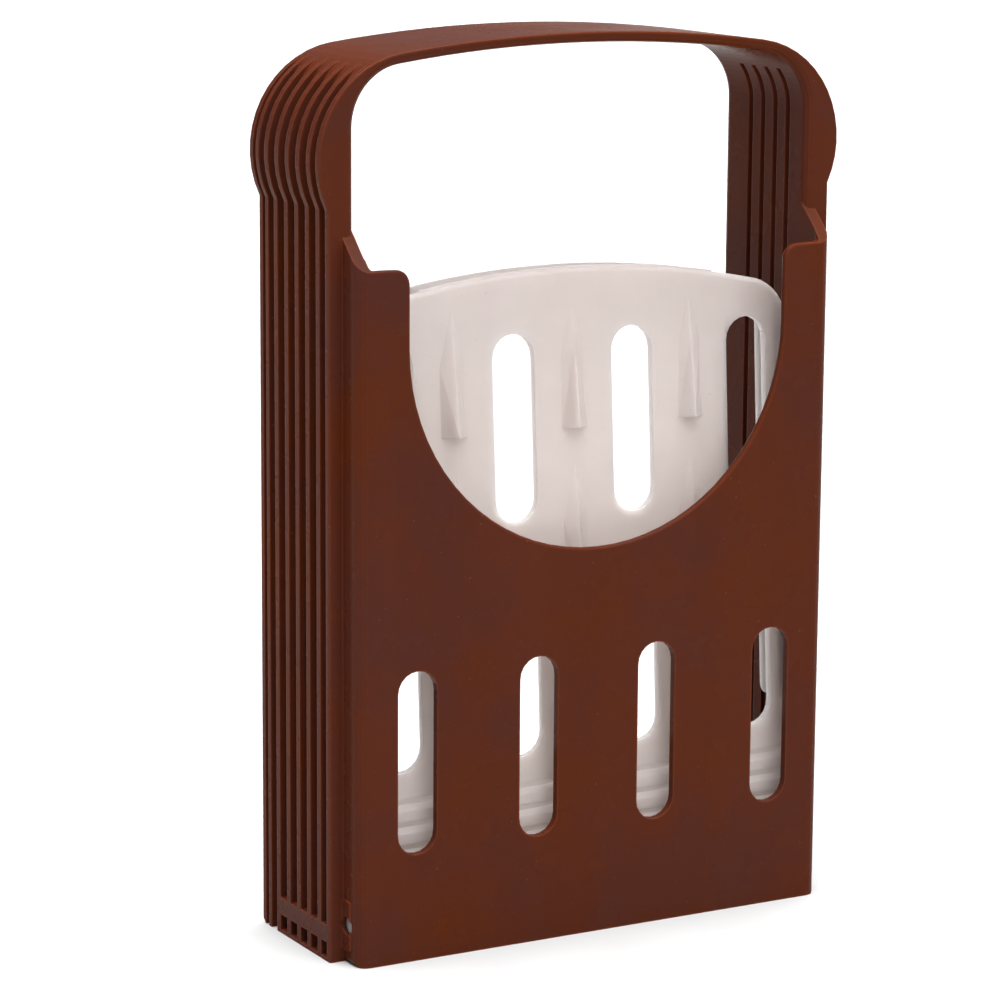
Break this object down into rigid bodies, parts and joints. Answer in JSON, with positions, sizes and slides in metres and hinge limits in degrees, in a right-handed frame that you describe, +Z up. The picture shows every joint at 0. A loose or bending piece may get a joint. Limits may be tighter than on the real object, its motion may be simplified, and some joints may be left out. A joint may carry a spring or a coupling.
{
  "type": "bread slicer guide",
  "caption": "Folding loaf-slicing guide: an arched frame with knife slots in its finned sides and a hinged loaf tray that folds up behind its front cover.",
  "frame": {"origin": "middle of the base, on the surface that the guide stands on", "axes": "+Z up; the cover faces -Y and the tray unfolds towards +Y; +X along the hinge"},
  "size_m": [0.1596, 0.0502, 0.245],
  "materials": {
    "brown_plastic": "satin",
    "ivory_plastic": "satin"
  },
  "bodies": {
    "frame": {"frame": "brown_plastic"},
    "tray": {"tray": "ivory_plastic"}
  },
  "joints": [
    {"name": "tray_hinge", "type": "hinge", "parent": "frame", "child": "tray", "pos_m": [0, -0.01868, 0.0106], "axis": [-1, 0, 0], "range_deg": [-3.8, 86.2]}
  ]
}
